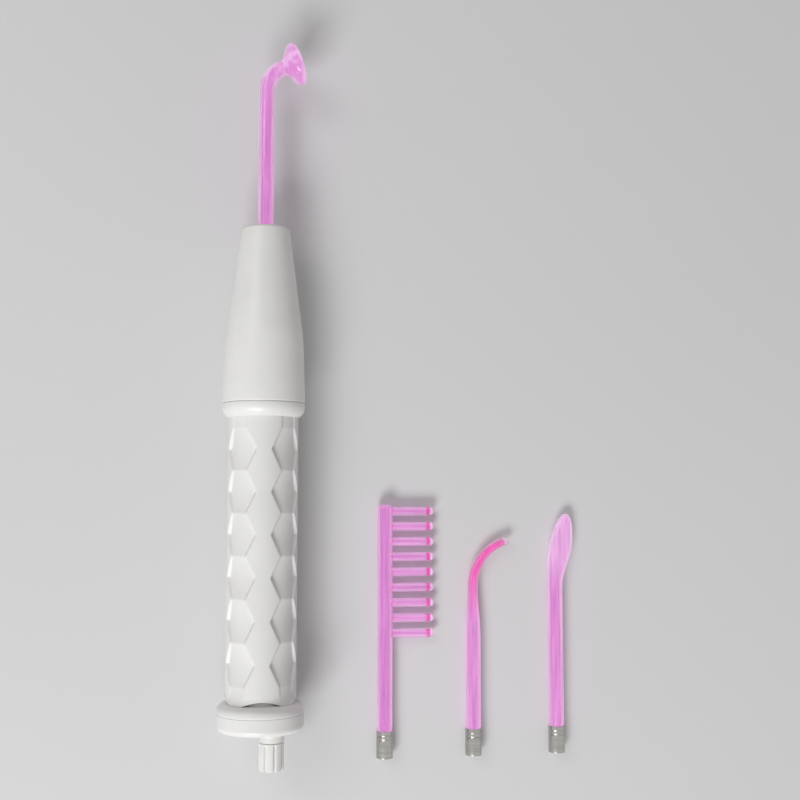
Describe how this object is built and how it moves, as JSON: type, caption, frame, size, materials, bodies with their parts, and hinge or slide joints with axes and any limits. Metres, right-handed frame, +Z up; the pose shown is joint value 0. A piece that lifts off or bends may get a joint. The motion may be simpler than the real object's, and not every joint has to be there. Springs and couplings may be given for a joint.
{
  "type": "violet ray wand with glass electrodes",
  "caption": "White hand-held high-frequency violet ray wand with hollowed grip, fluted end knob and a fitted mushroom glass electrode; comb, bent and spoon glass electrodes lie beside it.",
  "frame": {"origin": "on the surface the set lies on, under the centre of its bounding box", "axes": "+Y along the wand towards its glass electrode, +X from the wand towards the loose electrodes, +Z up"},
  "size_m": [0.1926, 0.3782, 0.0442],
  "materials": {
    "shell": "moulded white, satin gloss",
    "grip": "moulded white, fine satin",
    "knob": "moulded white, satin gloss",
    "glass": "blown glass with violet-pink gas glow",
    "nickel": "nickel plated",
    "brass": "turned",
    "steel": "bright",
    "iron": "soft iron, oiled",
    "copper": "enamelled copper wire",
    "fine_wire": "fine enamelled copper wire",
    "phenolic": "phenolic",
    "black_plastic": "moulded",
    "rubber": "soft rubber",
    "felt": "wool felt",
    "capacitor_case": "dipped resin",
    "porcelain": "glazed",
    "lead_sleeve": "insulating sleeve",
    "silver": "silver alloy"
  },
  "bodies": {
    "handle": {"nose_cone": "shell", "collar_ring": "shell", "grip_sleeve": "grip", "inner_tube": "phenolic", "cap_ring": "shell", "cap_lid": "shell", "cap_screws": "steel", "cord_gland": "black_plastic", "gland_nut": "black_plastic", "mouth_ring": "rubber", "socket_bush": "phenolic", "contact_spring": "steel", "coil_terminal": "brass", "coil_former": "phenolic", "secondary_winding": "fine_wire", "primary_winding": "copper", "capacitor": "capacitor_case", "capacitor_wrap": "felt", "magnet_yoke": "iron", "magnet_core": "iron", "magnet_bobbin": "black_plastic", "magnet_winding": "copper", "hookup_leads": "lead_sleeve", "contact_bridge": "phenolic", "screw_bush": "brass", "reed_post": "brass", "terminal_block": "porcelain", "terminal_screws": "steel"},
    "socket": {"socket_cup": "brass"},
    "mushroom_electrode": {"mushroom_glass": "glass", "mushroom_ferrule": "nickel"},
    "knob": {"intensity_knob": "knob", "knob_clip": "steel"},
    "screw": {"adjusting_screw": "brass"},
    "armature": {"reed_spring": "steel", "armature_plate": "iron", "moving_contact": "silver"},
    "comb_electrode": {"comb_glass": "glass", "comb_ferrule": "nickel"},
    "point_electrode": {"point_glass": "glass", "point_ferrule": "nickel"},
    "spoon_electrode": {"spoon_glass": "glass", "spoon_ferrule": "nickel"}
  },
  "joints": [
    {"name": "knob_turn", "type": "hinge", "parent": "handle", "child": "knob", "pos_m": [-0.0684, -0.17541, 0.0221], "axis": [0, 1, 0], "range_deg": [0, 300]},
    {"name": "screw_feed", "type": "slide", "parent": "knob", "child": "screw", "axis": [0, 1, 0], "range_m": [0, 0.00084]},
    {"name": "armature_rock", "type": "hinge", "parent": "handle", "child": "armature", "pos_m": [-0.08315, -0.12736, 0.0221], "axis": [0, 0, 1], "range_deg": [0, 3.3]},
    {"name": "electrode_turn", "type": "hinge", "parent": "handle", "child": "socket", "pos_m": [-0.0742, 0.08809, 0.0221], "axis": [0, 1, 0], "continuous": true},
    {"name": "electrode_pull", "type": "slide", "parent": "socket", "child": "mushroom_electrode", "axis": [0, 1, 0], "range_m": [0, 0.045]},
    {"name": "comb_lift", "type": "slide", "parent": "handle", "child": "comb_electrode", "axis": [0, 0, 1], "range_m": [0, 0.12]},
    {"name": "point_lift", "type": "slide", "parent": "handle", "child": "point_electrode", "axis": [0, 0, 1], "range_m": [0, 0.12]},
    {"name": "spoon_lift", "type": "slide", "parent": "handle", "child": "spoon_electrode", "axis": [0, 0, 1], "range_m": [0, 0.12]}
  ],
  "couplings": [
    {"joint": "screw_feed", "follows": "knob_turn", "m_per_rad": 0.00015915},
    {"joint": "armature_rock", "follows": "knob_turn", "ratio": 0.01079}
  ]
}
